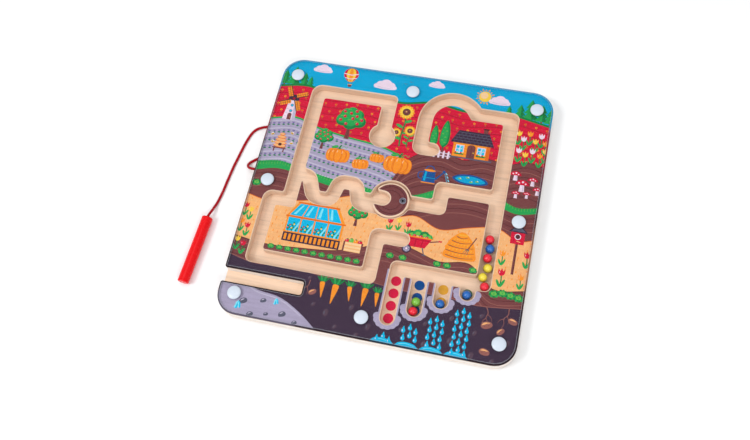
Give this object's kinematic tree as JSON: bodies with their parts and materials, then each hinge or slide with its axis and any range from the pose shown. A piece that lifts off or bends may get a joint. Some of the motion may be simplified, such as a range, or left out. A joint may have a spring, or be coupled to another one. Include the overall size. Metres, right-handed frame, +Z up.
{
  "type": "magnetic ball maze board",
  "caption": "Wooden ball maze under a clear riveted cover: a magnet wand on a cord draws coloured balls along routed lanes, past a turning gate disc, into sorting slots.",
  "frame": {"origin": "on the table, under the middle of the box round the board and the wand beside it", "axes": "+X along the board's width, away from the wand; +Y along the board from the sorting slots to the start chamber; +Z up, out of the clear cover"},
  "size_m": [0.3482, 0.3, 0.0208],
  "materials": {
    "bare_wood": "sanded, clear matt varnish",
    "printed_wood": "printed face, bare sanded lanes and edges",
    "brown_printed_wood": "printed face with rings",
    "clear_acrylic": "clear, polished",
    "white_plastic": "smooth moulded",
    "steel": "plain",
    "red_plastic": "glossy moulded",
    "red_braid": "braided cord",
    "red_ball": "glossy coating",
    "blue_ball": "glossy coating",
    "yellow_ball": "glossy coating",
    "green_ball": "glossy coating"
  },
  "bodies": {
    "board": {"back_panel": "bare_wood", "maze_panel": "printed_wood", "cover": "clear_acrylic", "rivet_cap_1": "white_plastic", "rivet_cap_2": "white_plastic", "rivet_cap_3": "white_plastic", "rivet_cap_4": "white_plastic", "rivet_cap_5": "white_plastic", "rivet_cap_6": "white_plastic", "rivet_cap_7": "white_plastic", "rivet_cap_8": "white_plastic", "rivet_foot_1": "white_plastic", "rivet_foot_2": "white_plastic", "rivet_foot_3": "white_plastic", "rivet_foot_4": "white_plastic", "rivet_foot_5": "white_plastic", "rivet_foot_6": "white_plastic", "rivet_foot_7": "white_plastic", "rivet_foot_8": "white_plastic", "anchor_knot": "red_braid", "cord": "red_braid"},
    "gate": {"gate_disc": "brown_printed_wood", "gate_eyelet": "steel"},
    "red_1": {"ball_red_1": "red_ball"},
    "blue_1": {"ball_blue_1": "blue_ball"},
    "red_2": {"ball_red_2": "red_ball"},
    "yellow_1": {"ball_yellow_1": "yellow_ball"},
    "yellow_2": {"ball_yellow_2": "yellow_ball"},
    "red_3": {"ball_red_3": "red_ball"},
    "green_1": {"ball_green_1": "green_ball"},
    "red_4": {"ball_red_4": "red_ball"},
    "blue_2": {"ball_blue_2": "blue_ball"},
    "blue_3": {"ball_blue_3": "blue_ball"},
    "lead": {"cord_lead": "red_braid"},
    "wand": {"wand_barrel": "red_plastic", "wand_plug": "red_plastic", "wand_magnet": "steel", "wand_knot": "red_braid"}
  },
  "joints": [
    {"name": "gate_turn", "type": "hinge", "parent": "board", "child": "gate", "pos_m": [0.02414, 0, 0.0102], "axis": [0, 0, 1], "continuous": true},
    {"name": "red_1_roll", "type": "slide", "parent": "board", "child": "red_1", "axis": [0, 1, 0], "range_m": [0, 0.125]},
    {"name": "blue_1_roll", "type": "slide", "parent": "board", "child": "blue_1", "axis": [0, 1, 0], "range_m": [0, 0.107]},
    {"name": "red_2_roll", "type": "slide", "parent": "board", "child": "red_2", "axis": [0, 1, 0], "range_m": [0, 0.088]},
    {"name": "yellow_1_roll", "type": "slide", "parent": "board", "child": "yellow_1", "axis": [0, 1, 0], "range_m": [0, 0.069]},
    {"name": "yellow_2_roll", "type": "slide", "parent": "board", "child": "yellow_2", "axis": [0, 1, 0], "range_m": [0, 0.0505]},
    {"name": "red_3_roll", "type": "slide", "parent": "board", "child": "red_3", "axis": [0, 1, 0], "range_m": [0, 0.0315]},
    {"name": "green_1_roll", "type": "slide", "parent": "board", "child": "green_1", "axis": [0, 1, 0], "range_m": [0, 0.029]},
    {"name": "red_4_roll", "type": "slide", "parent": "board", "child": "red_4", "axis": [0, 1, 0], "range_m": [0, 0.0175]},
    {"name": "blue_2_roll", "type": "slide", "parent": "board", "child": "blue_2", "axis": [0, 1, 0], "range_m": [0, 0.027]},
    {"name": "blue_3_roll", "type": "slide", "parent": "board", "child": "blue_3", "axis": [0, 1, 0], "range_m": [0, 0.014]},
    {"name": "wand_swing", "type": "hinge", "parent": "board", "child": "lead", "pos_m": [-0.15944, -0.02968, 0.00142], "axis": [0, 0, 1], "range_deg": [-80, 18]},
    {"name": "wand_lift", "type": "hinge", "parent": "lead", "child": "wand", "pos_m": [-0.16421, -0.0487, 0.0055], "axis": [-0.9982, 0.0593, 0], "range_deg": [0, 75]}
  ],
  "couplings": [
    {"joint": "blue_1_roll", "follows": "red_1_roll", "ratio": 0.85},
    {"joint": "red_2_roll", "follows": "red_1_roll", "ratio": 0.7},
    {"joint": "yellow_1_roll", "follows": "red_1_roll", "ratio": 0.55},
    {"joint": "yellow_2_roll", "follows": "red_1_roll", "ratio": 0.4},
    {"joint": "red_3_roll", "follows": "red_1_roll", "ratio": 0.25},
    {"joint": "red_4_roll", "follows": "green_1_roll", "ratio": 0.6}
  ]
}
